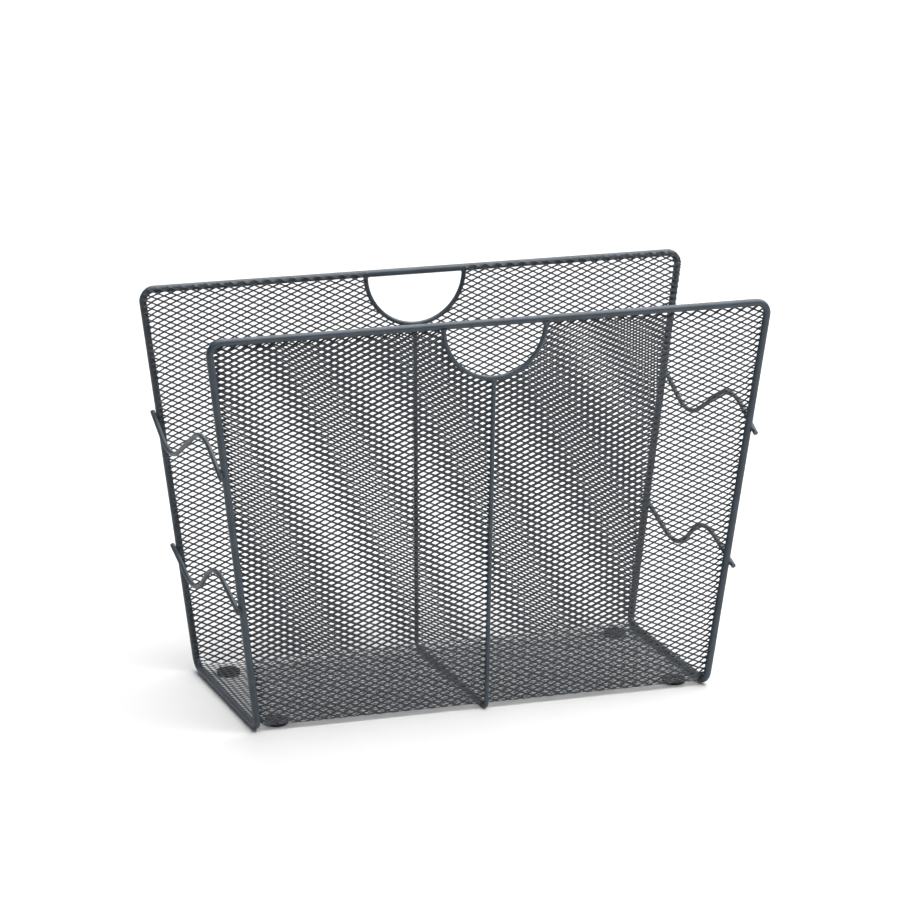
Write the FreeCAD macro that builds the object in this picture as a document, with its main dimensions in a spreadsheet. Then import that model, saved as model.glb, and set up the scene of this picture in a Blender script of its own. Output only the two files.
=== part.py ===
import FreeCAD, Part
import math
import os

import Sketcher
from FreeCAD import Placement, Rotation, Vector

# Open magazine holder: a closed loop of bent steel wire carries one dished sheet of expanded
# metal, folded into a rear panel, a floor and a front panel.  Both panels lean outwards and the
# loop widens towards the top.  Each panel has a half-round finger opening under its top bar, a
# centre wire runs down the back, under the floor and up the front, and two waved wires close
# each end.  Four rubber feet sit under the floor.
#
# +X runs along the length, -Y is the front, +Z is up.  The origin is on the surface that the
# feet stand on, below the middle of the holder.

DRIVING_SIZES = {
    # whole holder, outside to outside, to the sharp corners that the frame's bends round off
    "overall_length": 400,
    "overall_depth": 165,
    "overall_height": 275,
    "base_length": 329,
    "base_depth": 147,
    # closed frame loop
    "frame_wire": 5.0,
    "frame_bend": 8.0,
    # expanded-metal sheet: its flat part lies near the middle of the frame wire and its border
    # steps up over the inner side of the wire
    "sheet_thickness": 0.8,
    "sheet_gap": 0.3,
    "sheet_fold": 2.0,
    "border_ramp": 6.8,
    "border_flat": 3.0,
    "border_overlap": 1.0,
    # finger openings
    "handle_radius": 36.0,
    "handle_wire": 3.2,
    "handle_drop": 2.0,
    # centre wire
    "centre_wire": 3.0,
    "centre_bend": 3.2,
    # waved end wires: height of the middle line, half the wave's height, how far each crest stands
    # from the middle of the holder, and how far the ends have climbed past the welds
    "end_wire": 3.4,
    "wave_bend": 40.0,
    "upper_wave_height": 183.6,
    "upper_wave_rise": 15.2,
    "upper_wave_crest": 38.3,
    "upper_end_rise": 2.4,
    "lower_wave_height": 88.8,
    "lower_wave_rise": 12.8,
    "lower_wave_crest": 30.2,
    "lower_end_rise": 1.6,
    "end_overhang": 4.5,
    # welded wires bite this far into each other
    "weld_bite": 0.3,
    # rubber feet
    "foot_diameter": 16.0,
    "foot_height": 3.5,
    "foot_rounding": 0.9,
    "foot_along": 144.0,
    "foot_across": 55.5,
}

FOLD_STEPS = 5          # straight facets in each folded corner of the sheet
CUT_SLACK = 0.2        # keeps the cutting prism's faces off the sheet's own edges
PRISM_MARGIN = 20.0     # how far the cutting prism runs past the sheet
STRAIGHT_TOLERANCE = 1e-6
SKETCH_ORIGIN = -1      # Sketcher's number for the sketch's own origin and X axis
START, END, CENTRE = 1, 2, 3

doc = FreeCAD.newDocument("MagazineHolder")
sheet = doc.addObject("Spreadsheet::Sheet", "Sizes")
for row, (alias, value) in enumerate(DRIVING_SIZES.items(), start=1):
    sheet.set(f"A{row}", alias)
    sheet.set(f"B{row}", str(value))
    sheet.setAlias(f"B{row}", alias)
doc.recompute()


def size(alias):
    return float(sheet.get(alias))


# ---------------------------------------------------------------- frame axis lines
# The same four lengths are needed as numbers and as expressions.
TOP_X = "(Sizes.overall_length - Sizes.frame_wire) / 2"
BASE_X = "(Sizes.base_length - Sizes.frame_wire) / 2"
TOP_Y = "(Sizes.overall_depth - Sizes.frame_wire) / 2"
BASE_Y = "(Sizes.base_depth - Sizes.frame_wire) / 2"
TOP_Z = "(Sizes.overall_height - Sizes.frame_wire / 2)"
BASE_Z = "(Sizes.foot_height - Sizes.sheet_gap)"
PANEL_LEAN = f"atan(({TOP_Y} - {BASE_Y}) / ({TOP_Z} - {BASE_Z}))"
END_SPLAY = f"atan(({TOP_X} - {BASE_X}) / ({TOP_Z} - {BASE_Z}))"

top_x = (size("overall_length") - size("frame_wire")) / 2
base_x = (size("base_length") - size("frame_wire")) / 2
top_y = (size("overall_depth") - size("frame_wire")) / 2
base_y = (size("base_depth") - size("frame_wire")) / 2
top_z = size("overall_height") - size("frame_wire") / 2
base_z = size("foot_height") - size("sheet_gap")
panel_lean = math.atan((top_y - base_y) / (top_z - base_z))
panel_length = math.hypot(top_y - base_y, top_z - base_z)


def half_length_at(height):
    """Distance from the middle of the holder to the leg axes at this height."""
    share = (height - base_z) / (top_z - base_z)
    return base_x + (top_x - base_x) * share


# ---------------------------------------------------------------- frame loop
def rounded_path(corners, radius):
    """Closed wire of straight runs and tangent arcs that rounds every corner."""
    arcs = []
    for index, corner in enumerate(corners):
        towards_last = (corners[index - 1] - corner).normalize()
        towards_next = (corners[(index + 1) % len(corners)] - corner).normalize()
        half_angle = towards_last.getAngle(towards_next) / 2
        run = radius / math.tan(half_angle)
        bisector = (towards_last + towards_next).normalize()
        middle = corner + bisector * (radius / math.sin(half_angle) - radius)
        arcs.append(Part.Arc(corner + towards_last * run, middle, corner + towards_next * run))
    edges = []
    for index, arc in enumerate(arcs):
        edges.append(arc.toShape())
        edges.append(Part.LineSegment(arc.EndPoint, arcs[(index + 1) % len(arcs)].StartPoint).toShape())
    return Part.Wire(edges)


def make_frame():
    """One wire loop: rear top bar, right end, front top bar, left end, back to the start.

    The loop leaves its plane at every leg, so no sketch holds its path.
    """
    corners = [
        Vector(-top_x, top_y, top_z),
        Vector(top_x, top_y, top_z),
        Vector(base_x, base_y, base_z),
        Vector(base_x, -base_y, base_z),
        Vector(top_x, -top_y, top_z),
        Vector(-top_x, -top_y, top_z),
        Vector(-base_x, -base_y, base_z),
        Vector(-base_x, base_y, base_z),
    ]
    path = rounded_path(corners, size("frame_bend"))
    first = path.Edges[0]
    start = first.valueAt(first.FirstParameter)
    direction = first.tangentAt(first.FirstParameter)
    section = Part.Wire(Part.makeCircle(size("frame_wire") / 2, start, direction))
    frame = doc.addObject("Part::Feature", "FrameLoop")
    frame.Shape = path.makePipeShell([section], True, False)
    frame.Label = "frame_wire"
    return frame


# ---------------------------------------------------------------- expanded-metal sheet
def fold_points(corner_y, corner_z, radius):
    """Rear corner between the leaning panel and the level floor, from panel to floor."""
    turn = math.pi / 2 - panel_lean
    run = radius * math.tan(turn / 2)
    centre_y = corner_y - run
    centre_z = corner_z + radius
    points = []
    for step in range(FOLD_STEPS + 1):
        angle = turn * (1 - step / FOLD_STEPS)
        points.append((centre_y + radius * math.sin(angle), centre_z - radius * math.cos(angle)))
    return points


def rear_half(inset, border_inset, radius):
    """Rear half of one face of the sheet, as (y, z) points from the top edge to the floor."""
    lean_y = math.sin(panel_lean)
    lean_z = math.cos(panel_lean)

    def on_panel(along, inwards):
        return (base_y + along * lean_y - inwards * lean_z, base_z + along * lean_z + inwards * lean_y)

    corner_z = base_z + inset
    foot_of_panel = on_panel(0, inset)
    slide = (corner_z - foot_of_panel[1]) / lean_z
    corner_y = foot_of_panel[0] + slide * lean_y
    top = [
        on_panel(panel_length + size("border_overlap"), border_inset),
        on_panel(panel_length - size("border_flat"), border_inset),
        on_panel(panel_length - size("border_ramp"), inset),
    ]
    return top + fold_points(corner_y, corner_z, radius)


def sheet_section(share, lift, radius):
    """Closed outline of the sheet in the plane that holds share of the half-length."""
    outer_inset = size("sheet_gap") + lift
    border_inset = size("frame_wire") / 2
    thickness = size("sheet_thickness")
    outer = rear_half(outer_inset, border_inset, radius)
    inner = rear_half(outer_inset + thickness, border_inset + thickness, max(radius - thickness, thickness))
    outline = outer + [(-y, z) for y, z in reversed(outer)]
    outline += [(-y, z) for y, z in inner] + list(reversed(inner))
    corners = [Vector(share * half_length_at(z), y, z) for y, z in outline]
    return Part.makePolygon(corners + [corners[0]])


def make_sheet_blank():
    """The folded, dished sheet before its corners and finger openings are cut.

    Six outlines from end to end carry the border's step over the frame wire, and ruled faces
    join them.
    """
    lift = size("frame_wire") / 2 - size("sheet_gap")
    mean_half = (top_x + base_x) / 2
    bend_inside = size("frame_bend") - size("frame_wire") / 2
    edge = 1 + size("border_overlap") / mean_half
    border = 1 - size("border_flat") / mean_half
    ramp = 1 - size("border_ramp") / mean_half
    stations = [(edge, lift, bend_inside), (border, lift, bend_inside), (ramp, 0.0, size("sheet_fold"))]
    sections = [sheet_section(-share, rise, fold) for share, rise, fold in stations]
    sections += [sheet_section(share, rise, fold) for share, rise, fold in reversed(stations)]
    blank = doc.addObject("Part::Feature", "SheetBlank")
    blank.Shape = Part.makeLoft(sections, True, True)
    return blank


def make_corner_outline():
    """Prism across both panels whose rounded top corners follow the frame's bends."""
    radius = size("frame_bend") + size("border_overlap")
    side = size("border_overlap") + CUT_SLACK
    top = top_z + side
    below = -PRISM_MARGIN
    depth = size("overall_depth") + PRISM_MARGIN
    left_foot = Vector(-half_length_at(below) - side, 0, below)
    right_foot = Vector(half_length_at(below) + side, 0, below)
    left_top = Vector(-half_length_at(top) - side, 0, top)
    right_top = Vector(half_length_at(top) + side, 0, top)
    prism = Part.Face(Part.makePolygon([left_foot, left_top, right_top, right_foot, left_foot]))
    solid = prism.extrude(Vector(0, depth, 0))
    solid.translate(Vector(0, -depth / 2, 0))
    rounded = [edge for edge in solid.Edges if is_across(edge) and edge.CenterOfMass.z > top_z]
    outline = doc.addObject("Part::Feature", "CornerOutline")
    outline.Shape = solid.makeFillet(radius, rounded)
    return outline


def is_across(edge):
    """True for a straight edge that runs along Y."""
    return abs(edge.BoundBox.YLength - edge.Length) < STRAIGHT_TOLERANCE


def make_mesh_sheet():
    blank = make_sheet_blank()
    outline = make_corner_outline()
    trimmed = doc.addObject("Part::MultiCommon", "TrimmedSheet")
    trimmed.Shapes = [blank, outline]

    round_part = doc.addObject("Part::Cylinder", "OpeningRound")
    round_part.setExpression("Radius", "Sizes.handle_radius")
    round_part.setExpression("Height", "Sizes.overall_depth")
    round_part.Placement = Placement(Vector(0, 0, 0), Rotation(Vector(1, 0, 0), 90))
    round_part.setExpression("Placement.Base.y", "Sizes.overall_depth / 2")
    round_part.setExpression("Placement.Base.z", f"{TOP_Z} - Sizes.handle_drop")

    straight_part = doc.addObject("Part::Box", "OpeningStraight")
    straight_part.setExpression("Length", "2 * Sizes.handle_radius")
    straight_part.setExpression("Width", "Sizes.overall_depth")
    straight_part.setExpression("Height", "3 * Sizes.frame_wire")
    straight_part.setExpression("Placement.Base.x", "-Sizes.handle_radius")
    straight_part.setExpression("Placement.Base.y", "-Sizes.overall_depth / 2")
    straight_part.setExpression("Placement.Base.z", f"{TOP_Z} - Sizes.handle_drop")

    opening = doc.addObject("Part::MultiFuse", "FingerOpening")
    opening.Shapes = [round_part, straight_part]
    cut = doc.addObject("Part::Cut", "MeshSheet")
    cut.Base = trimmed
    cut.Tool = opening
    cut.Label = "mesh_sheet"
    return cut


# ---------------------------------------------------------------- sketched wires
# A sketched wire is three straight runs joined by two bends.  Its path is a list of stops, each
# a place with a signed radius: 0 at a free end, above 0 where the wire turns to its left, below 0
# where it turns to its right.
def origin_plane(body, role):
    return next(item for item in body.Origin.OriginFeatures if item.Role == role)


def new_sketch(body, name, role):
    sketch = body.newObject("Sketcher::SketchObject", name)
    sketch.AttachmentSupport = [(origin_plane(body, role), "")]
    sketch.MapMode = "FlatFace"
    return sketch


def bind(sketch, kind, picks, value, expression):
    """Add a dimension and bind it to the sizes."""
    index = sketch.addConstraint(Sketcher.Constraint(kind, *picks, value))
    sketch.setExpression(f"Constraints[{index}]", expression)


def pin(sketch, geometry, point, place, expressions):
    """Hold a point at a signed place; the expressions give its distances from both axes."""
    for kind, value, expression in zip(("DistanceX", "DistanceY"), place, expressions):
        picks = (SKETCH_ORIGIN, START, geometry, point)
        if value < 0:
            picks = (geometry, point, SKETCH_ORIGIN, START)
        bind(sketch, kind, picks, abs(value), expression)


def run_between(place, turn, next_place, next_turn):
    """Ends of the straight run that leaves one stop and meets the next one tangentially."""
    step = next_place - place
    slant = math.asin((next_turn - turn) / step.Length)
    direction = Rotation(Vector(0, 0, 1), -math.degrees(slant)).multVec(step).normalize()
    left = Vector(-direction.y, direction.x, 0)
    return place - left * turn, next_place - left * next_turn


def arc_at(place, turn, arrival, departure):
    """Arc about place from arrival to departure; Sketcher's arcs always run anticlockwise."""
    if turn < 0:
        arrival, departure = departure, arrival
    angles = [math.atan2(point.y - place.y, point.x - place.x) for point in (arrival, departure)]
    if angles[1] < angles[0]:
        angles[1] += 2 * math.pi
    return Part.ArcOfCircle(Part.Circle(place, Vector(0, 0, 1), abs(turn)), *angles)


def draw_path(sketch, stops, bend_expression):
    """Draw the runs and bends, join them tangentially and bind every place and radius."""
    runs = []
    for (place, turn, _), (next_place, next_turn, _) in zip(stops, stops[1:]):
        runs.append(run_between(place, turn, next_place, next_turn))
    lines = [sketch.addGeometry(Part.LineSegment(*run)) for run in runs]
    for number, (place, turn, expressions) in enumerate(stops[1:-1]):
        arc = sketch.addGeometry(arc_at(place, turn, runs[number][1], runs[number + 1][0]))
        arrival, departure = (START, END) if turn > 0 else (END, START)
        sketch.addConstraint(Sketcher.Constraint("Tangent", lines[number], END, arc, arrival))
        sketch.addConstraint(Sketcher.Constraint("Tangent", arc, departure, lines[number + 1], START))
        bind(sketch, "Radius", (arc,), abs(turn), bend_expression)
        pin(sketch, arc, CENTRE, place, expressions)
    pin(sketch, lines[0], START, stops[0][0], stops[0][2])
    pin(sketch, lines[-1], END, stops[-1][0], stops[-1][2])


def sweep_wire(body, path, diameter):
    """Round wire along the path sketch."""
    section = body.newObject("Sketcher::SketchObject", "Section")
    section.AttachmentSupport = [(path, "Edge1")]
    section.MapMode = "NormalToEdge"
    section.MapPathParameter = 0.0
    circle = section.addGeometry(Part.Circle(Vector(0, 0, 0), Vector(0, 0, 1), size(diameter) / 2))
    section.addConstraint(Sketcher.Constraint("Coincident", circle, CENTRE, SKETCH_ORIGIN, START))
    bind(section, "Diameter", (circle,), size(diameter), f"Sizes.{diameter}")
    pipe = body.newObject("PartDesign::AdditivePipe", "Wire")
    pipe.Profile = section
    pipe.Spine = (path, [f"Edge{number + 1}" for number in range(path.GeometryCount)])
    body.Tip = pipe


def make_centre_wire():
    """U of wire: down behind the rear panel, under the floor and up in front."""
    body = doc.addObject("PartDesign::Body", "CentreWire")
    body.Label = "centre_wire"
    outset = size("centre_wire") / 2 - size("sheet_gap")
    radius = size("centre_bend")
    length = panel_length - size("handle_drop") - size("handle_radius")
    length -= size("handle_wire") / 2 - size("weld_bite")
    end_y = base_y + length * math.sin(panel_lean) + outset * math.cos(panel_lean)
    end_z = base_z + length * math.cos(panel_lean) - outset * math.sin(panel_lean)
    floor_z = base_z - outset
    run = radius * math.tan((math.pi / 2 - panel_lean) / 2)
    bend_y = end_y - (end_z - floor_z) * math.tan(panel_lean) - run
    bend_z = floor_z + radius

    outset_text = "(Sizes.centre_wire / 2 - Sizes.sheet_gap)"
    length_text = (f"(sqrt(({TOP_Y} - {BASE_Y})^2 + ({TOP_Z} - {BASE_Z})^2) - Sizes.handle_drop"
                   " - Sizes.handle_radius - Sizes.handle_wire / 2 + Sizes.weld_bite)")
    end_y_text = f"({BASE_Y} + {length_text} * sin({PANEL_LEAN}) + {outset_text} * cos({PANEL_LEAN}))"
    end_z_text = f"({BASE_Z} + {length_text} * cos({PANEL_LEAN}) - {outset_text} * sin({PANEL_LEAN}))"
    bend_y_text = (f"{end_y_text} - ({end_z_text} - {BASE_Z} + {outset_text}) * tan({PANEL_LEAN})"
                   f" - Sizes.centre_bend * tan((90 deg - {PANEL_LEAN}) / 2)")
    bend_z_text = f"{BASE_Z} - {outset_text} + Sizes.centre_bend"
    end_texts = (end_y_text, end_z_text)
    bend_texts = (bend_y_text, bend_z_text)
    stops = [
        (Vector(end_y, end_z, 0), 0.0, end_texts),
        (Vector(bend_y, bend_z, 0), -radius, bend_texts),
        (Vector(-bend_y, bend_z, 0), -radius, bend_texts),
        (Vector(-end_y, end_z, 0), 0.0, end_texts),
    ]
    path = new_sketch(body, "Path", "YZ_Plane")
    draw_path(path, stops, "Sizes.centre_bend")
    doc.recompute()
    sweep_wire(body, path, "centre_wire")
    return body


def make_end_wire(side, level):
    """Waved wire across one end, in an upright plane: it dips at the rear leg and rises at the front."""
    name = ("right" if side > 0 else "left") + f"_{level}_end_wire"
    body = doc.addObject("PartDesign::Body", name.title().replace("_", ""))
    body.Label = name
    rise = size(f"{level}_wave_rise")
    crest = size(f"{level}_wave_crest")
    height = size(f"{level}_wave_height")
    radius = size("wave_bend")
    end_rise = size(f"{level}_end_rise")
    share = (height - base_z) / (top_z - base_z)
    end_y = base_y + (top_y - base_y) * share + size("end_overhang")

    share_text = f"((Sizes.{level}_wave_height - {BASE_Z}) / ({TOP_Z} - {BASE_Z}))"
    end_text = f"{BASE_Y} + ({TOP_Y} - {BASE_Y}) * {share_text} + Sizes.end_overhang"
    end_texts = (end_text, f"Sizes.{level}_end_rise")
    bend_texts = (f"Sizes.{level}_wave_crest", f"abs(Sizes.wave_bend - Sizes.{level}_wave_rise)")
    stops = [
        (Vector(end_y, end_rise, 0), 0.0, end_texts),
        (Vector(crest, radius - rise, 0), -radius, bend_texts),
        (Vector(-crest, rise - radius, 0), radius, bend_texts),
        (Vector(-end_y, -end_rise, 0), 0.0, end_texts),
    ]
    path = new_sketch(body, "Path", "YZ_Plane")
    draw_path(path, stops, "Sizes.wave_bend")
    doc.recompute()
    sweep_wire(body, path, "end_wire")

    standoff_text = "(Sizes.frame_wire / 2 + Sizes.end_wire / 2 - Sizes.weld_bite)"
    place_text = f"{BASE_X} + ({TOP_X} - {BASE_X}) * {share_text} + {standoff_text} / cos({END_SPLAY})"
    body.setExpression("Placement.Base.x", place_text if side > 0 else f"-({place_text})")
    body.setExpression("Placement.Base.z", f"Sizes.{level}_wave_height")
    return body


# ---------------------------------------------------------------- finger-opening arcs and feet
def make_handle_arc(side, name):
    """Half-round wire under a top bar, in the leaning plane just outside the sheet."""
    arc = doc.addObject("Part::Torus", name.title().replace("_", ""))
    arc.Label = name
    arc.setExpression("Radius1", "Sizes.handle_radius")
    arc.setExpression("Radius2", "Sizes.handle_wire / 2")
    arc.Angle3 = 180
    drop_y = size("handle_drop") * math.sin(panel_lean)
    outset = size("handle_wire") / 2 - size("sheet_gap")
    y = top_y - drop_y + outset * math.cos(panel_lean)
    z = top_z - size("handle_drop") * math.cos(panel_lean) - outset * math.sin(panel_lean)
    hang = Rotation(Vector(1, 0, 0), -90)
    lean = Rotation(Vector(1, 0, 0), -side * math.degrees(panel_lean))
    arc.Placement = Placement(Vector(0, side * y, z), lean.multiply(hang))
    return arc


def make_foot(along, across, name):
    """Rubber disc with a rounded lower edge, its top under the floor of the sheet."""
    body = doc.addObject("PartDesign::Body", name.title().replace("_", ""))
    body.Label = name
    profile = new_sketch(body, "Profile", "XZ_Plane")
    radius = size("foot_diameter") / 2
    height = size("foot_height")
    rounding = size("foot_rounding")
    corners = [(0, 0), (radius - rounding, 0), (radius, rounding), (radius, height), (0, height)]
    points = [Vector(x, z, 0) for x, z in corners]
    bottom = profile.addGeometry(Part.LineSegment(points[0], points[1]))
    circle = Part.Circle(Vector(radius - rounding, rounding, 0), Vector(0, 0, 1), rounding)
    edge = profile.addGeometry(Part.ArcOfCircle(circle, -math.pi / 2, 0))
    wall = profile.addGeometry(Part.LineSegment(points[2], points[3]))
    top = profile.addGeometry(Part.LineSegment(points[3], points[4]))
    axis = profile.addGeometry(Part.LineSegment(points[4], points[0]))
    profile.addConstraint(Sketcher.Constraint("Coincident", bottom, START, SKETCH_ORIGIN, START))
    profile.addConstraint(Sketcher.Constraint("Coincident", axis, END, bottom, START))
    profile.addConstraint(Sketcher.Constraint("Coincident", wall, END, top, START))
    profile.addConstraint(Sketcher.Constraint("Coincident", top, END, axis, START))
    profile.addConstraint(Sketcher.Constraint("Tangent", bottom, END, edge, START))
    profile.addConstraint(Sketcher.Constraint("Tangent", edge, END, wall, START))
    profile.addConstraint(Sketcher.Constraint("Horizontal", bottom))
    profile.addConstraint(Sketcher.Constraint("Horizontal", top))
    profile.addConstraint(Sketcher.Constraint("Vertical", wall))
    profile.addConstraint(Sketcher.Constraint("Vertical", axis))
    bind(profile, "Radius", (edge,), rounding, "Sizes.foot_rounding")
    bind(profile, "DistanceX", (top, END, top, START), radius, "Sizes.foot_diameter / 2")
    bind(profile, "DistanceY", (axis, END, axis, START), height, "Sizes.foot_height")
    turned = body.newObject("PartDesign::Revolution", "Disc")
    turned.Profile = profile
    turned.ReferenceAxis = (profile, ["V_Axis"])
    turned.Angle = 360
    body.Tip = turned
    body.setExpression("Placement.Base.x", f"{along} * Sizes.foot_along")
    body.setExpression("Placement.Base.y", f"{across} * Sizes.foot_across")
    return body


# ---------------------------------------------------------------- whole holder
nodes = [make_frame(), make_mesh_sheet(), make_centre_wire()]
nodes += [make_handle_arc(1, "rear_handle_arc"), make_handle_arc(-1, "front_handle_arc")]
for level in ("upper", "lower"):
    nodes += [make_end_wire(-1, level), make_end_wire(1, level)]
for across, row in ((-1, "front"), (1, "rear")):
    for along, column in ((-1, "left"), (1, "right")):
        nodes.append(make_foot(along, across, f"foot_{row}_{column}"))
doc.recompute()

for item in doc.Objects:
    if "Invalid" in item.State or "Error" in item.State:
        raise RuntimeError(f"{item.Label} did not compute: {item.State}")
os.makedirs("parts", exist_ok=True)
for node in nodes:
    shape = node.Shape
    if shape.isNull() or not shape.isValid() or shape.Volume <= 0:
        raise RuntimeError(f"{node.Label} has no valid solid")
    shape.exportStep(f"parts/{node.Label}.step")
    print(f"{node.Label:24s} {len(shape.Solids)} solid, {shape.Volume:10.1f} mm3, {shape.BoundBox}")
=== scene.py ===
import math

import bmesh
import bpy
import numpy as np
from mathutils import Matrix, Vector


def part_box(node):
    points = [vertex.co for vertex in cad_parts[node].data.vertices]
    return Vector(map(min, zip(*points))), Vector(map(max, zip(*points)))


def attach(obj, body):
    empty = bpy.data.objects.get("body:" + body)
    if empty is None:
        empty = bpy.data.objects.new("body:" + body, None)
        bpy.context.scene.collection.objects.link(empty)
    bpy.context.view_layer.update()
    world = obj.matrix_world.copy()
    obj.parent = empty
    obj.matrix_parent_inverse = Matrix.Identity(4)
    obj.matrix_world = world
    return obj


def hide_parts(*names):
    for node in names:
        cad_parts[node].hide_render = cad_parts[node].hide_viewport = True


# Looks of the open magazine holder.  The expanded-metal sheet is built strand by strand on the
# folds of the CAD sheet.  The wires and feet keep their CAD shape and get weld fillets and
# powder-coat or rubber materials.  Lengths are in metres, angles in radians.

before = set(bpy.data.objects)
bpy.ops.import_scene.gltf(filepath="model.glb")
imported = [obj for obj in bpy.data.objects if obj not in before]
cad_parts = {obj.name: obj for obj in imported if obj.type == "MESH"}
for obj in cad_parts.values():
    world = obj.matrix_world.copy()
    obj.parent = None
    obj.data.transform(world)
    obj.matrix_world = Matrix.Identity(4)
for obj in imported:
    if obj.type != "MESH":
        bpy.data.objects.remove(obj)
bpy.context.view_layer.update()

MM = 0.001

# ---------------------------------------------------------------- sizes
# The frame loop's height and depth come from the CAD box; the three lengths below are the ones
# that no box gives, outside to outside and to the loop's sharp corners.
TOP_LENGTH = 400.0 * MM
BASE_LENGTH = 329.0 * MM
BASE_DEPTH = 147.0 * MM
FRAME_RADIUS = 2.5 * MM
FRAME_BEND = 8.0 * MM

HANDLE_RADIUS = 36.0 * MM
HANDLE_DROP = 2.0 * MM
HANDLE_WIRE_RADIUS = 1.6 * MM
CENTRE_WIRE_RADIUS = 1.5 * MM
END_WIRE_RADIUS = 1.7 * MM
WELD_BITE = 0.3 * MM
SHEET_GAP = 0.3 * MM
WAVE_BEND = 40.0 * MM
UPPER_CREST = 38.3 * MM
LOWER_CREST = 30.2 * MM

# sheet: how far its middle surface and its border lie inwards from the axis of the frame wire,
# where the border is flat and where its ramp ends, how far the panels reach past the axis, the
# radii of the folds, and the extra tilt and thickness of the strands that lap over the wires
PANEL_INSET = 0.7 * MM
BORDER_INSET = 2.8 * MM
BORDER_FLAT = 3.0 * MM
BORDER_RAMP = 6.8 * MM
BORDER_OVERLAP = 2.0 * MM
PANEL_FOLD = 1.6 * MM
BORDER_FOLD = 5.0 * MM
BORDER_BURR = 1.1

# expanded metal: width of a strand, flat at the top and bottom of an opening, metal between two
# openings in a row, thickness, half the height by which a strand tilts, and the diamonds' pitches
# as (x, s) vectors.  The sheet is one piece, but the rear panel was pulled a little longer.
STRAND = 0.72 * MM
BOND_LENGTH = 0.6 * MM
SLIT_BOND = 2.6 * MM
SHEET_METAL = 0.30 * MM
STRAND_TILT = -0.14 * MM
REAR_LONG_PITCH = np.array([9.101, -0.119]) * MM
REAR_SHORT_PITCH = np.array([-0.002, 4.196]) * MM
REAR_START = np.array([0.35, -2.42]) * MM
FRONT_LONG_PITCH = np.array([9.065, -0.138]) * MM
FRONT_SHORT_PITCH = np.array([0.022, 4.122]) * MM
FRONT_START = np.array([-1.72, -2.98]) * MM

# straight steps round a corner and round a finger opening of the sheet's outline
CORNER_STEPS = 6
HANDLE_STEPS = 40

# powder coat: linear colours, roughness, and the sizes and depths of its texture
WIRE_DARK = (0.013, 0.024, 0.036)
WIRE_LIGHT = (0.024, 0.041, 0.058)
WIRE_ROUGHNESS = 0.46
MESH_DARK = (0.012, 0.017, 0.023)
MESH_LIGHT = (0.021, 0.028, 0.037)
MESH_ROUGHNESS = 0.45
COAT_IOR = 1.58
CLOUD_SIZE = 11.0 * MM
FLOW_SIZE = 0.9 * MM
FLOW_DEPTH = 0.030 * MM
GRAIN_SIZE = 0.16 * MM
GRAIN_DEPTH = 0.012 * MM

# rubber
RUBBER_DARK = (0.006, 0.006, 0.007)
RUBBER_LIGHT = (0.016, 0.016, 0.017)
RUBBER_ROUGHNESS = (0.62, 0.82)
RUBBER_CLOUD_SIZE = 2.5 * MM
RUBBER_GRAIN_SIZE = 0.25 * MM
RUBBER_GRAIN_DEPTH = 0.03 * MM

frame_low, frame_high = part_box("frame_wire")
TOP_X = TOP_LENGTH / 2 - FRAME_RADIUS
BASE_X = BASE_LENGTH / 2 - FRAME_RADIUS
BASE_Y = BASE_DEPTH / 2 - FRAME_RADIUS
TOP_Y = frame_high.y - FRAME_RADIUS
TOP_Z = frame_high.z - FRAME_RADIUS
BASE_Z = frame_low.z + FRAME_RADIUS

LEAN = math.atan((TOP_Y - BASE_Y) / (TOP_Z - BASE_Z))
SPLAY = math.atan((TOP_X - BASE_X) / (TOP_Z - BASE_Z))
FOLD_TURN = math.pi / 2 - LEAN
PANEL_LENGTH = math.hypot(TOP_Y - BASE_Y, TOP_Z - BASE_Z)


def smooth(share):
    share = np.clip(share, 0.0, 1.0)
    return share * share * (3 - 2 * share)


# ---------------------------------------------------------------- folded sheet
# A point of the sheet is given by x and by s, the length along the sheet from the middle of the
# floor, positive towards the rear.  lift is its height over the sheet's middle surface, inwards.
class Profile:
    """Rear half of the folded sheet's middle line, at one inset from the frame axis."""

    def __init__(self, inset, fold):
        self.fold = fold
        self.floor_z = BASE_Z + inset
        corner_y = BASE_Y + inset * math.tan(LEAN) - inset / math.cos(LEAN)
        tangent = fold * math.tan(FOLD_TURN / 2)
        self.floor = corner_y - tangent
        start_z = self.floor_z + tangent * math.cos(LEAN)
        self.panel = (TOP_Z + inset * math.sin(LEAN) - start_z) / math.cos(LEAN)
        self.panel_start = self.floor + fold * FOLD_TURN

    def place(self, along, panel_start):
        """(y, z) and the inward normal's angle, where the panel is reached at panel_start."""
        turn = np.clip((along - self.floor) / (panel_start - self.floor), 0.0, 1.0) * FOLD_TURN
        up = np.maximum(along - panel_start, 0.0)
        y = np.minimum(along, self.floor) + self.fold * np.sin(turn) + up * math.sin(LEAN)
        z = self.floor_z + self.fold * (1 - np.cos(turn)) + up * math.cos(LEAN)
        return y, z, turn


main_profile = Profile(PANEL_INSET, PANEL_FOLD)
border_profile = Profile(BORDER_INSET, BORDER_FOLD)
SHEET_TOP = main_profile.panel_start + main_profile.panel
BORDER_PANEL_START = SHEET_TOP - border_profile.panel


def half_length_at(height):
    return BASE_X + (TOP_X - BASE_X) * (height - BASE_Z) / (TOP_Z - BASE_Z)


def edge_distance(x, along, z):
    """Distance of a sheet point from the frame wire's axis, which the rounded corners follow."""
    side = (half_length_at(np.maximum(z, BASE_Z)) - np.abs(x)) * math.cos(SPLAY)
    top = SHEET_TOP - along
    corner = FRAME_BEND - np.hypot(FRAME_BEND - side, FRAME_BEND - top)
    in_corner = (side < FRAME_BEND) & (top < FRAME_BEND)
    return np.where(in_corner, corner, np.minimum(side, top))


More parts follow.
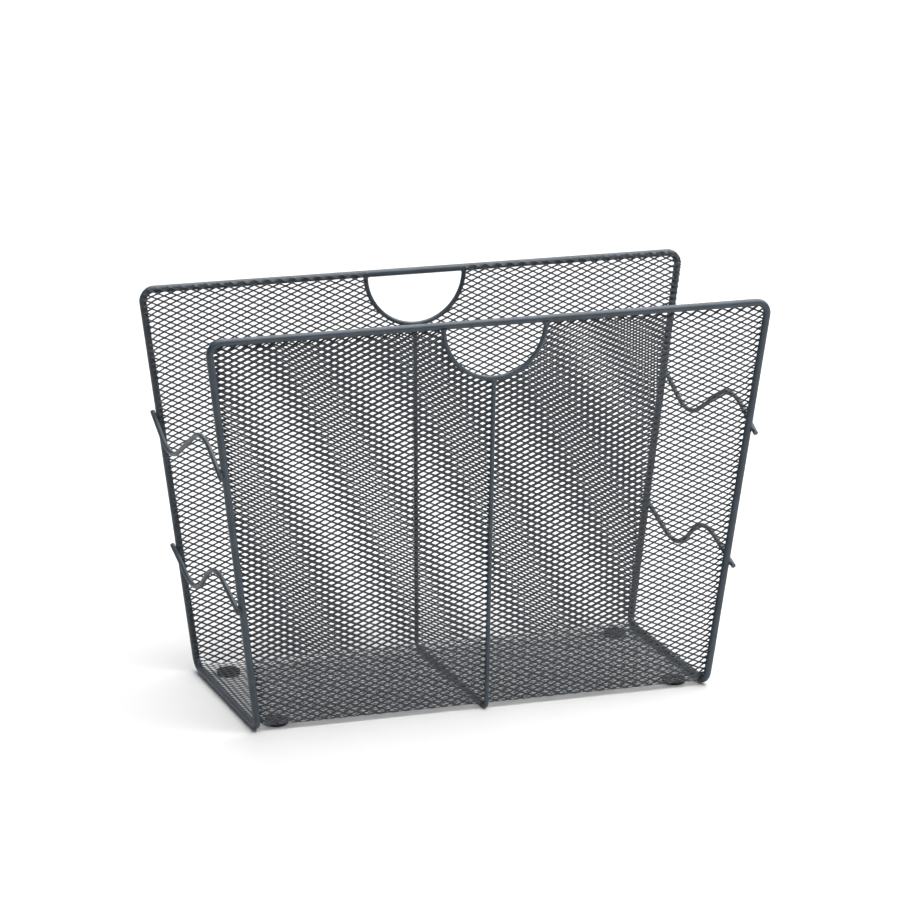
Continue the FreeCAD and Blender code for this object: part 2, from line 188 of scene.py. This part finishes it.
def on_sheet(x, s, lift):
    """Row-frame points for sheet coordinates, as an (n, 3) array."""
    along = np.abs(s)
    y, z, turn = main_profile.place(along, main_profile.panel_start)
    edge = edge_distance(x, along, z)
    share = smooth((BORDER_RAMP - edge) / (BORDER_RAMP - BORDER_FLAT))
    border_y, border_z, border_turn = border_profile.place(along, BORDER_PANEL_START)
    y = y + (border_y - y) * share
    z = z + (border_z - z) * share
    turn = turn + (border_turn - turn) * share
    lift = lift * (1 + BORDER_BURR * share * turn / FOLD_TURN)
    past = np.minimum(edge, 0.0)
    lift = lift - (BORDER_INSET - np.sqrt(BORDER_INSET ** 2 - past ** 2))
    y = y - lift * np.sin(turn)
    z = z + lift * np.cos(turn)
    return np.stack([x, np.sign(s) * y, z], axis=1)


# ---------------------------------------------------------------- expanded metal
LONG_PITCH = REAR_LONG_PITCH[0]
SHORT_PITCH = REAR_SHORT_PITCH[1]
FOLD_MIDDLE = main_profile.floor + main_profile.fold * FOLD_TURN / 2
WEST, SOUTH_WEST, SOUTH_EAST, EAST, NORTH_EAST, NORTH_WEST = range(6)
CORNERS = 6


def opening_corners():
    """Six corners of one opening from its centre, in pitches, with their lift."""
    half_long = (1 - SLIT_BOND / LONG_PITCH) / 2
    half_bond = BOND_LENGTH / LONG_PITCH / 2
    half_short = (1 - 2 * STRAND / SHORT_PITCH) / 2
    return np.array([
        (-half_long, 0.0, 0.0),
        (-half_bond, -half_short, STRAND_TILT),
        (half_bond, -half_short, STRAND_TILT),
        (half_long, 0.0, 0.0),
        (half_bond, half_short, -STRAND_TILT),
        (-half_bond, half_short, -STRAND_TILT),
    ])


def in_sheet(pitches):
    """(x, s) of places counted in pitches: the floor eases from one panel's pattern to the other's."""
    rear = pitches @ np.array([REAR_LONG_PITCH, REAR_SHORT_PITCH]) + REAR_START
    front = pitches @ np.array([FRONT_LONG_PITCH, FRONT_SHORT_PITCH]) + FRONT_START
    along = (rear[:, 1:] + front[:, 1:]) / 2
    return front + (rear - front) * smooth((along / FOLD_MIDDLE + 1) / 2)


def opening_centres(s_low, s_high, x_reach):
    """Every opening that may show, as its half columns and half rows and its place in pitches."""
    columns = math.ceil(x_reach / LONG_PITCH) + 2
    first = 2 * math.floor(s_low / SHORT_PITCH) - 8
    last = 2 * math.ceil(s_high / SHORT_PITCH) + 8
    cells = [
        (column, row)
        for row in range(first, last + 1)
        for column in range(-2 * columns - row % 2, 2 * columns + 2, 2)]
    pitches = np.array(cells) / 2
    places = in_sheet(pitches)
    near = (places[:, 1] > s_low - 2 * SHORT_PITCH) & (places[:, 1] < s_high + 2 * SHORT_PITCH)
    near &= np.abs(places[:, 0]) < x_reach + LONG_PITCH
    kept = np.flatnonzero(near)
    return [cells[index] for index in kept], pitches[kept]


def lattice_faces(number):
    """Strands and bonds between the openings, as loops over the corners of their outline."""

    def corner(cell, which):
        return number[cell] * CORNERS + which

    loops = []
    for column, row in number:
        here = (column, row)
        right_up = (column + 1, row + 1)
        right_down = (column + 1, row - 1)
        right = (column + 2, row)
        if right_up in number:
            loops.append([corner(here, EAST), corner(right_up, SOUTH_WEST),
                          corner(right_up, WEST), corner(here, NORTH_EAST)])
        if right_down in number:
            loops.append([corner(here, SOUTH_EAST), corner(right_down, WEST),
                          corner(right_down, NORTH_WEST), corner(here, EAST)])
        if right_up in number and right_down in number and right in number:
            loops.append([corner(here, EAST), corner(right_down, NORTH_WEST),
                          corner(right_down, NORTH_EAST), corner(right, WEST),
                          corner(right_up, SOUTH_EAST), corner(right_up, SOUTH_WEST)])
    return loops


def make_plate(name, points, loops):
    """Closed plate from its upper face: the same face below, and a wall along every free edge."""
    used = sorted({index for loop in loops for index in loop})
    renumber = {old: new for new, old in enumerate(used)}
    loops = [[renumber[index] for index in loop] for loop in loops]
    upper = points[used]
    count = len(upper)
    edges = {(a, b) for loop in loops for a, b in zip(loop, loop[1:] + loop[:1])}
    faces = loops + [[index + count for index in reversed(loop)] for loop in loops]
    faces += [[b, a, a + count, b + count] for a, b in sorted(edges) if (b, a) not in edges]
    half = np.array([0.0, 0.0, SHEET_METAL / 2])
    mesh = bpy.data.meshes.new(name)
    mesh.from_pydata(np.concatenate([upper + half, upper - half]).tolist(), [], faces)
    return mesh


def arc_points(centre, radius, start, stop, steps):
    angles = np.linspace(start, stop, steps + 1)
    return [(centre[0] + radius * math.cos(a), centre[1] + radius * math.sin(a)) for a in angles]


def panel_outline(s_low):
    """Outline of a panel from the fold to the top: leaning sides, round corners, finger opening."""
    over = BORDER_OVERLAP
    s_high = SHEET_TOP + over
    splay = math.tan(SPLAY) * math.cos(LEAN)
    half_top = TOP_X + over / math.cos(SPLAY) + over * splay
    half_low = half_top - (s_high - s_low) * splay
    radius = FRAME_BEND + over
    centre_s = s_high - radius
    centre_x = TOP_X - (FRAME_BEND + FRAME_BEND * math.sin(SPLAY)) / math.cos(SPLAY)
    corner = arc_points((centre_x, centre_s), radius, -SPLAY, math.pi / 2, CORNER_STEPS)
    handle_s = SHEET_TOP - HANDLE_DROP
    handle = arc_points((0.0, handle_s), HANDLE_RADIUS, 0.0, -math.pi, HANDLE_STEPS)
    right = [(half_low, s_low)] + corner + [(HANDLE_RADIUS, s_high)]
    left = [(-HANDLE_RADIUS, s_high)] + [(-x, s) for x, s in reversed(corner)] + [(-half_low, s_low)]
    return right + handle + left


def make_cutter(outline):
    """Prism on an outline in sheet coordinates."""
    reach = 4 * SHEET_METAL
    bm = bmesh.new()
    face = bm.faces.new([bm.verts.new((x, s, -reach)) for x, s in outline])
    raised = bmesh.ops.extrude_face_region(bm, geom=[face])["geom"]
    top = [item for item in raised if isinstance(item, bmesh.types.BMVert)]
    bmesh.ops.translate(bm, verts=top, vec=(0.0, 0.0, 2 * reach))
    bmesh.ops.recalc_face_normals(bm, faces=bm.faces)
    mesh = bpy.data.meshes.new("cutter")
    bm.to_mesh(mesh)
    bm.free()
    return mesh


def link(name, mesh):
    piece = bpy.data.objects.new(name, mesh)
    bpy.context.scene.collection.objects.link(piece)
    return piece


def evaluated(piece):
    """The piece's mesh with its modifiers, which are then removed."""
    graph = bpy.context.evaluated_depsgraph_get()
    mesh = bpy.data.meshes.new_from_object(piece.evaluated_get(graph))
    piece.modifiers.clear()
    piece.data = mesh
    return mesh


def make_mesh_stretch(name, outline):
    """One stretch of the sheet: the diamonds inside the outline, folded onto the frame."""
    corners = np.array(outline)
    x_reach = np.abs(corners[:, 0]).max()
    cells, pitches = opening_centres(corners[:, 1].min(), corners[:, 1].max(), x_reach)
    number = {cell: index for index, cell in enumerate(cells)}
    middle = np.column_stack([pitches, np.zeros(len(pitches))])
    points = (middle[:, None, :] + opening_corners()[None, :, :]).reshape(-1, 3)
    points[:, :2] = in_sheet(points[:, :2])
    piece = link(name, make_plate(name, points, lattice_faces(number)))
    cutter = link("cutter", make_cutter(outline))
    cut = piece.modifiers.new("outline", "BOOLEAN")
    cut.operation = "INTERSECT"
    cut.solver = "MANIFOLD"
    cut.object = cutter
    mesh = evaluated(piece)
    bpy.data.objects.remove(cutter)
    flat = np.empty(len(mesh.vertices) * 3, np.float32)
    mesh.vertices.foreach_get("co", flat)
    flat = flat.reshape(-1, 3).astype(float)
    placed = on_sheet(flat[:, 0], flat[:, 1], flat[:, 2])
    mesh.vertices.foreach_set("co", placed.astype(np.float32).ravel())
    mesh.update()
    return piece


# ---------------------------------------------------------------- welds
WELD_VOXEL = 0.22 * MM
WELD_SMOOTHING = 10


def stub(bm, start, end, radius, end_radius):
    """Round rod or cone from start to end."""
    axis = end - start
    turn = axis.to_track_quat("Z", "Y").to_matrix().to_4x4()
    bmesh.ops.create_cone(
        bm, cap_ends=True, segments=24, radius1=radius, radius2=end_radius,
        depth=axis.length, matrix=Matrix.Translation((start + end) / 2) @ turn)


def blob(bm, centre, radii):
    shape = Matrix.Translation(centre) @ Matrix.Diagonal((*radii, 1.0))
    bmesh.ops.create_icosphere(bm, subdivisions=3, radius=1.0, matrix=shape)


def make_weld(name, bm):
    """Flow the rods and blobs of one joint together, so that only its fillets stand proud."""
    mesh = bpy.data.meshes.new(name)
    bm.to_mesh(mesh)
    bm.free()
    piece = link(name, mesh)
    merge = piece.modifiers.new("merge", "REMESH")
    merge.mode = "VOXEL"
    merge.voxel_size = WELD_VOXEL
    flow = piece.modifiers.new("flow", "SMOOTH")
    flow.factor = 0.5
    flow.iterations = WELD_SMOOTHING
    evaluated(piece)
    piece.data.shade_smooth()
    return piece


# ---------------------------------------------------------------- materials
class Nodes:
    """A new material's shader and the node calls that its look is built with."""

    def __init__(self, name):
        self.material = bpy.data.materials.new(name)
        self.material.use_nodes = True
        self.tree = self.material.node_tree
        self.shader = self.tree.nodes["Principled BSDF"]
        coordinates = self.tree.nodes.new("ShaderNodeTexCoord")
        self.place = coordinates.outputs["Object"]

    def noise(self, size, detail=3.0, distortion=0.0):
        """Noise value with features of about that size in metres."""
        noise = self.tree.nodes.new("ShaderNodeTexNoise")
        noise.inputs["Scale"].default_value = 1 / size
        noise.inputs["Detail"].default_value = detail
        noise.inputs["Distortion"].default_value = distortion
        self.tree.links.new(self.place, noise.inputs["Vector"])
        return noise.outputs["Fac"]

    def grade(self, value, low, high, stops=(0.3, 0.7)):
        """Map a value to a span of numbers or colours."""
        ramp = self.tree.nodes.new("ShaderNodeMapRange")
        ramp.inputs["From Min"].default_value = stops[0]
        ramp.inputs["From Max"].default_value = stops[1]
        self.tree.links.new(value, ramp.inputs["Value"])
        if not isinstance(low, tuple):
            ramp.inputs["To Min"].default_value = low
            ramp.inputs["To Max"].default_value = high
            return ramp.outputs["Result"]
        mix = self.tree.nodes.new("ShaderNodeMix")
        mix.data_type = "RGBA"
        mix.inputs["A"].default_value = (*low, 1.0)
        mix.inputs["B"].default_value = (*high, 1.0)
        self.tree.links.new(ramp.outputs["Result"], mix.inputs["Factor"])
        return mix.outputs["Result"]

    def bump(self, value, depth, normal=None):
        bump = self.tree.nodes.new("ShaderNodeBump")
        bump.inputs["Strength"].default_value = 1.0
        bump.inputs["Distance"].default_value = depth
        self.tree.links.new(value, bump.inputs["Height"])
        if normal is not None:
            self.tree.links.new(normal, bump.inputs["Normal"])
        return bump.outputs["Normal"]

    def use(self, value, socket):
        self.tree.links.new(value, self.shader.inputs[socket])


def powder_coat(name, dark, light, rough):
    """Semi-matt powder coat: cured flow texture, fine grain and a cloudy film thickness."""
    look = Nodes(name)
    cloud = look.noise(CLOUD_SIZE, 4.0, 0.4)
    look.use(look.grade(cloud, dark, light, (0.35, 0.66)), "Base Color")
    flow = look.noise(FLOW_SIZE, 2.0)
    fine = look.noise(GRAIN_SIZE, 2.0)
    look.use(look.grade(fine, rough - 0.05, rough + 0.08), "Roughness")
    orange_peel = look.bump(flow, FLOW_DEPTH)
    look.use(look.bump(fine, GRAIN_DEPTH, orange_peel), "Normal")
    look.shader.inputs["IOR"].default_value = COAT_IOR
    return look.material


def rubber(name):
    """Matt black rubber with a fine grain."""
    look = Nodes(name)
    cloud = look.noise(RUBBER_CLOUD_SIZE, 4.0)
    look.use(look.grade(cloud, RUBBER_DARK, RUBBER_LIGHT), "Base Color")
    fine = look.noise(RUBBER_GRAIN_SIZE, 3.0)
    look.use(look.grade(fine, *RUBBER_ROUGHNESS), "Roughness")
    look.use(look.bump(fine, RUBBER_GRAIN_DEPTH), "Normal")
    return look.material


wire_coat = powder_coat("wire_powder_coat", WIRE_DARK, WIRE_LIGHT, WIRE_ROUGHNESS)
mesh_coat = powder_coat("mesh_powder_coat", MESH_DARK, MESH_LIGHT, MESH_ROUGHNESS)
foot_rubber = rubber("foot_rubber")

for name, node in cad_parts.items():
    coat = foot_rubber if name.startswith("foot") else wire_coat
    for material_slot in node.material_slots:
        material_slot.material = coat


def dress(piece, material):
    """Give a finished piece its material and its body."""
    piece.data.materials.clear()
    piece.data.materials.append(material)
    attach(piece, "root")


# ---------------------------------------------------------------- mesh pieces
rear_outline = panel_outline(FOLD_MIDDLE)
front_outline = [(x, -s) for x, s in reversed(rear_outline)]
floor_outline = [
    (-BASE_X, -FOLD_MIDDLE), (BASE_X, -FOLD_MIDDLE), (BASE_X, FOLD_MIDDLE),
    (-BASE_X, FOLD_MIDDLE)]
for name, outline in (
        ("mesh_rear_panel", rear_outline),
        ("mesh_front_panel", front_outline),
        ("mesh_floor", floor_outline)):
    stretch = make_mesh_stretch(name, outline)
    dress(stretch, mesh_coat)
    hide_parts("mesh_sheet")

# ---------------------------------------------------------------- weld pieces
# Each weld is a short copy of the wires that meet, a hair thinner than they are, with filler
# between.  Smoothing sinks the copies into the real wires and leaves the fillet standing proud.
THINNER = 0.06 * MM
HANDLE_WELD_REACH = 5.0 * MM
HANDLE_FILLET_ABOVE = 0.6 * MM
HANDLE_FILLET_BELOW = 1.5 * MM
HANDLE_FILLET_SPREAD = 1.55
STEM_REACH = 6.0 * MM
BRANCH_REACH = 5.0 * MM
STEM_FILLET = 2.6 * MM
BRANCH_FILLET = 1.6 * MM
END_WELD_REACH = 4.0 * MM
END_FILLER_PLACE = 0.60
END_FILLER_RADII = (1.0 * MM, 2.1 * MM, 2.1 * MM)
JOINT_REACH = 4.0 * MM
BEAD_HEIGHT = 0.22 * MM
BEAD_HALF_WIDTH = 1.5 * MM
PANEL_UP = Vector((0.0, math.sin(LEAN), math.cos(LEAN)))
PANEL_OUT = Vector((0.0, math.cos(LEAN), -math.sin(LEAN)))
LEG_UP = Vector((TOP_X - BASE_X, TOP_Y - BASE_Y, TOP_Z - BASE_Z)).normalized()
ALONG = Vector((1.0, 0.0, 0.0))


def weld_piece(name, rods, filler, side, end):
    """One weld, laid out at the rear right and mirrored to its side (y) and end (x)."""
    to_place = Matrix.Diagonal((end, side, 1.0, 1.0))
    bm = bmesh.new()
    for start, stop, radius, stop_radius in rods:
        stub(bm, to_place @ start, to_place @ stop, radius - THINNER, stop_radius - THINNER)
    for centre, radii in filler:
        blob(bm, to_place @ centre, radii)
    bmesh.ops.recalc_face_normals(bm, faces=bm.faces)
    dress(make_weld(name, bm), wire_coat)


def weld_handle(name, side, end):
    """Foot of a half-round handle wire under the top bar."""
    bar = Vector((HANDLE_RADIUS, TOP_Y, TOP_Z))
    foot = bar - PANEL_UP * HANDLE_DROP + PANEL_OUT * (HANDLE_WIRE_RADIUS - SHEET_GAP)
    seam = bar - PANEL_UP * FRAME_RADIUS + PANEL_OUT * (HANDLE_WIRE_RADIUS - SHEET_GAP)
    reach = HANDLE_WELD_REACH
    rods = [
        (bar - ALONG * reach, bar + ALONG * reach, FRAME_RADIUS, FRAME_RADIUS),
        (foot, foot - PANEL_UP * reach, HANDLE_WIRE_RADIUS, HANDLE_WIRE_RADIUS),
        (seam + PANEL_UP * HANDLE_FILLET_ABOVE, seam - PANEL_UP * HANDLE_FILLET_BELOW,
         HANDLE_WIRE_RADIUS * HANDLE_FILLET_SPREAD, HANDLE_WIRE_RADIUS),
    ]
    weld_piece(name, rods, [], side, end)


def weld_centre(name, side):
    """Top of the centre wire where it runs into the handle wire, like the stem of a Y."""
    up = PANEL_LENGTH - HANDLE_DROP - HANDLE_RADIUS
    base = Vector((0.0, BASE_Y, BASE_Z))
    out = PANEL_OUT * (HANDLE_WIRE_RADIUS - SHEET_GAP)
    crown = base + PANEL_UP * up + out
    end = crown - PANEL_UP * HANDLE_WIRE_RADIUS
    lift = HANDLE_RADIUS - math.sqrt(HANDLE_RADIUS ** 2 - BRANCH_REACH ** 2)
    tip_right = crown + ALONG * BRANCH_REACH + PANEL_UP * lift
    tip_left = crown - ALONG * BRANCH_REACH + PANEL_UP * lift
    fillet = end - PANEL_UP * STEM_FILLET
    rods = [
        (crown, tip_right, HANDLE_WIRE_RADIUS, HANDLE_WIRE_RADIUS),
        (crown, tip_left, HANDLE_WIRE_RADIUS, HANDLE_WIRE_RADIUS),
        (end - PANEL_UP * STEM_REACH, crown, CENTRE_WIRE_RADIUS, CENTRE_WIRE_RADIUS),
        (fillet, crown + ALONG * BRANCH_FILLET, CENTRE_WIRE_RADIUS * 0.9,
         HANDLE_WIRE_RADIUS * 0.95),
        (fillet, crown - ALONG * BRANCH_FILLET, CENTRE_WIRE_RADIUS * 0.9,
         HANDLE_WIRE_RADIUS * 0.95),
    ]
    weld_piece(name, rods, [], side, 1.0)


def run_direction(crest, rise, leg_y, dips):
    """Unit (y, z) of the wire's end run, from the leg towards its first bend."""
    to_bend = Vector((crest - leg_y, (WAVE_BEND - rise) * dips))
    swing = math.asin(WAVE_BEND / to_bend.length) * dips
    cos, sin = math.cos(swing), math.sin(swing)
    unit = to_bend.normalized()
    return Vector((unit.x * cos - unit.y * sin, unit.x * sin + unit.y * cos))


def weld_end_wire(name, level, crest, side, end):
    """Crossing of a waved end wire and a leg."""
    low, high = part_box(("right" if end > 0 else "left") + f"_{level}_end_wire")
    height = (low.z + high.z) / 2
    rise = (high.z - low.z) / 2 - END_WIRE_RADIUS
    share = (height - BASE_Z) / (TOP_Z - BASE_Z)
    leg = Vector((
        BASE_X + (TOP_X - BASE_X) * share, BASE_Y + (TOP_Y - BASE_Y) * share, height))
    run = run_direction(crest, rise, leg.y, side)
    wire = leg + ALONG * (FRAME_RADIUS + END_WIRE_RADIUS - WELD_BITE) / math.cos(SPLAY)
    along_wire = Vector((0.0, run.x, run.y))
    reach = END_WELD_REACH
    rods = [
        (leg - LEG_UP * reach, leg + LEG_UP * reach, FRAME_RADIUS, FRAME_RADIUS),
        (wire - along_wire * reach, wire + along_wire * reach, END_WIRE_RADIUS, END_WIRE_RADIUS),
    ]
    filler = [(leg.lerp(wire, END_FILLER_PLACE), END_FILLER_RADII)]
    weld_piece(name, rods, filler, side, end)


def weld_frame_joint():
    """Butt weld that closes the frame wire, halfway along its left bottom run."""
    middle = Vector((-BASE_X, 0.0, BASE_Z))
    reach = Vector((0.0, JOINT_REACH, 0.0))
    bm = bmesh.new()
    radius = FRAME_RADIUS - THINNER
    stub(bm, middle - reach, middle + reach, radius, radius)
    bead = FRAME_RADIUS + BEAD_HEIGHT
    blob(bm, middle, (bead, BEAD_HALF_WIDTH, bead))
    dress(make_weld("weld_frame_joint", bm), wire_coat)


for side_name, side in (("rear", 1.0), ("front", -1.0)):
    weld_centre(f"weld_{side_name}_centre_wire", side)
    for end_name, end in (("right", 1.0), ("left", -1.0)):
        weld_handle(f"weld_{side_name}_handle_{end_name}", side, end)
        weld_end_wire(f"weld_{side_name}_upper_{end_name}", "upper", UPPER_CREST, side, end)
        weld_end_wire(f"weld_{side_name}_lower_{end_name}", "lower", LOWER_CREST, side, end)
weld_frame_joint()

# ---------------------------------------------------------------- floor, lights and camera
# The key and side lights aim at the holder, the background light at the board behind it.
HOLDER = Vector((0.0, 0.0, 0.1))
KEY_SIZE = 3.0
KEY_PLACE = Vector((0.75, -0.15, 2.1))
KEY_RADIANCE = 4.7
BACK_SIZE = 3.4
BACK_PLACE = Vector((1.5, 4.4, 2.4))
BACK_AIM = Vector((1.5, 4.4, 0.0))
BACK_RADIANCE = 4.4
SIDE_SIZE = 0.7
SIDE_PLACE = Vector((2.2, -0.8, 1.1))
SIDE_RADIANCE = 1.0
# brightness of the room above and at the horizon, and the heights between which it changes
SURROUND = 0.30
HORIZON = 0.55
HORIZON_LOW = 0.05
HORIZON_HIGH = 0.25
FLOOR_HALF = 9.0
BOARD_DARK = (0.64, 0.64, 0.64)
BOARD_LIGHT = (0.66, 0.66, 0.66)
BOARD_ROUGHNESS = (0.7, 0.8)
BOARD_CLOUD_SIZE = 0.35
BOARD_GRAIN_SIZE = 1.5 * MM
BOARD_GRAIN_DEPTH = 0.01 * MM
CAMERA_YAW = 0.3432
CAMERA_PITCH = 0.2661
CAMERA_ROLL = 0.0087
CAMERA_DISTANCE = 3.069
CAMERA_TARGET = Vector((-0.002, 0.0, 0.1642))
CAMERA_LENS = 179.4


def plaster(name):
    """Pale smooth sweep of painted board."""
    look = Nodes(name)
    cloud = look.noise(BOARD_CLOUD_SIZE, 3.0)
    look.use(look.grade(cloud, BOARD_DARK, BOARD_LIGHT), "Base Color")
    fine = look.noise(BOARD_GRAIN_SIZE, 2.0)
    look.use(look.grade(fine, *BOARD_ROUGHNESS), "Roughness")
    look.use(look.bump(fine, BOARD_GRAIN_DEPTH), "Normal")
    look.shader.inputs["Specular IOR Level"].default_value = 0.2
    return look.material


def make_floor():
    bm = bmesh.new()
    bmesh.ops.create_grid(bm, x_segments=8, y_segments=8, size=FLOOR_HALF)
    mesh = bpy.data.meshes.new("studio_floor")
    bm.to_mesh(mesh)
    bm.free()
    floor = link("studio_floor", mesh)
    floor.data.materials.append(plaster("pale_board"))


def area_light(name, place, aim, size, radiance):
    """Square soft light of that radiance, turned to what it aims at."""
    lamp = bpy.data.lights.new(name, "AREA")
    lamp.shape = "SQUARE"
    lamp.size = size
    lamp.energy = math.pi * size * size * radiance
    light = link(name, lamp)
    light.location = place
    light.rotation_mode = "QUATERNION"
    light.rotation_quaternion = (aim - place).to_track_quat("-Z", "Y")


def make_camera():
    forward = Vector((
        math.sin(CAMERA_YAW) * math.cos(CAMERA_PITCH),
        math.cos(CAMERA_YAW) * math.cos(CAMERA_PITCH),
        -math.sin(CAMERA_PITCH)))
    level = Vector((math.cos(CAMERA_YAW), -math.sin(CAMERA_YAW), 0.0))
    upright = level.cross(forward)
    right = level * math.cos(CAMERA_ROLL) + upright * math.sin(CAMERA_ROLL)
    up = right.cross(forward)
    lens = bpy.data.cameras.new("photo_camera")
    lens.lens = CAMERA_LENS
    lens.sensor_width = 36.0
    lens.clip_end = 60.0
    camera = link("photo_camera", lens)
    turn = Matrix((right, up, -forward)).transposed().to_4x4()
    camera.matrix_world = Matrix.Translation(CAMERA_TARGET - forward * CAMERA_DISTANCE) @ turn
    bpy.context.scene.camera = camera


def make_surround():
    """White room, brightest low down, where the floor runs into it."""
    world = bpy.data.worlds.new("studio")
    world.use_nodes = True
    nodes = world.node_tree.nodes
    links = world.node_tree.links
    direction = nodes.new("ShaderNodeTexCoord")
    parts = nodes.new("ShaderNodeSeparateXYZ")
    links.new(direction.outputs["Generated"], parts.inputs["Vector"])
    rise = nodes.new("ShaderNodeMapRange")
    rise.inputs["From Min"].default_value = HORIZON_LOW
    rise.inputs["From Max"].default_value = HORIZON_HIGH
    rise.inputs["To Min"].default_value = HORIZON
    rise.inputs["To Max"].default_value = SURROUND
    links.new(parts.outputs["Z"], rise.inputs["Value"])
    background = nodes["Background"]
    background.inputs["Color"].default_value = (1.0, 1.0, 1.0, 1.0)
    links.new(rise.outputs["Result"], background.inputs["Strength"])
    bpy.context.scene.world = world


make_camera()
make_floor()
make_surround()
area_light("key_softbox", KEY_PLACE, HOLDER, KEY_SIZE, KEY_RADIANCE)
area_light("background_softbox", BACK_PLACE, BACK_AIM, BACK_SIZE, BACK_RADIANCE)
area_light("side_softbox", SIDE_PLACE, HOLDER, SIDE_SIZE, SIDE_RADIANCE)
bpy.context.scene.view_settings.view_transform = "Standard"
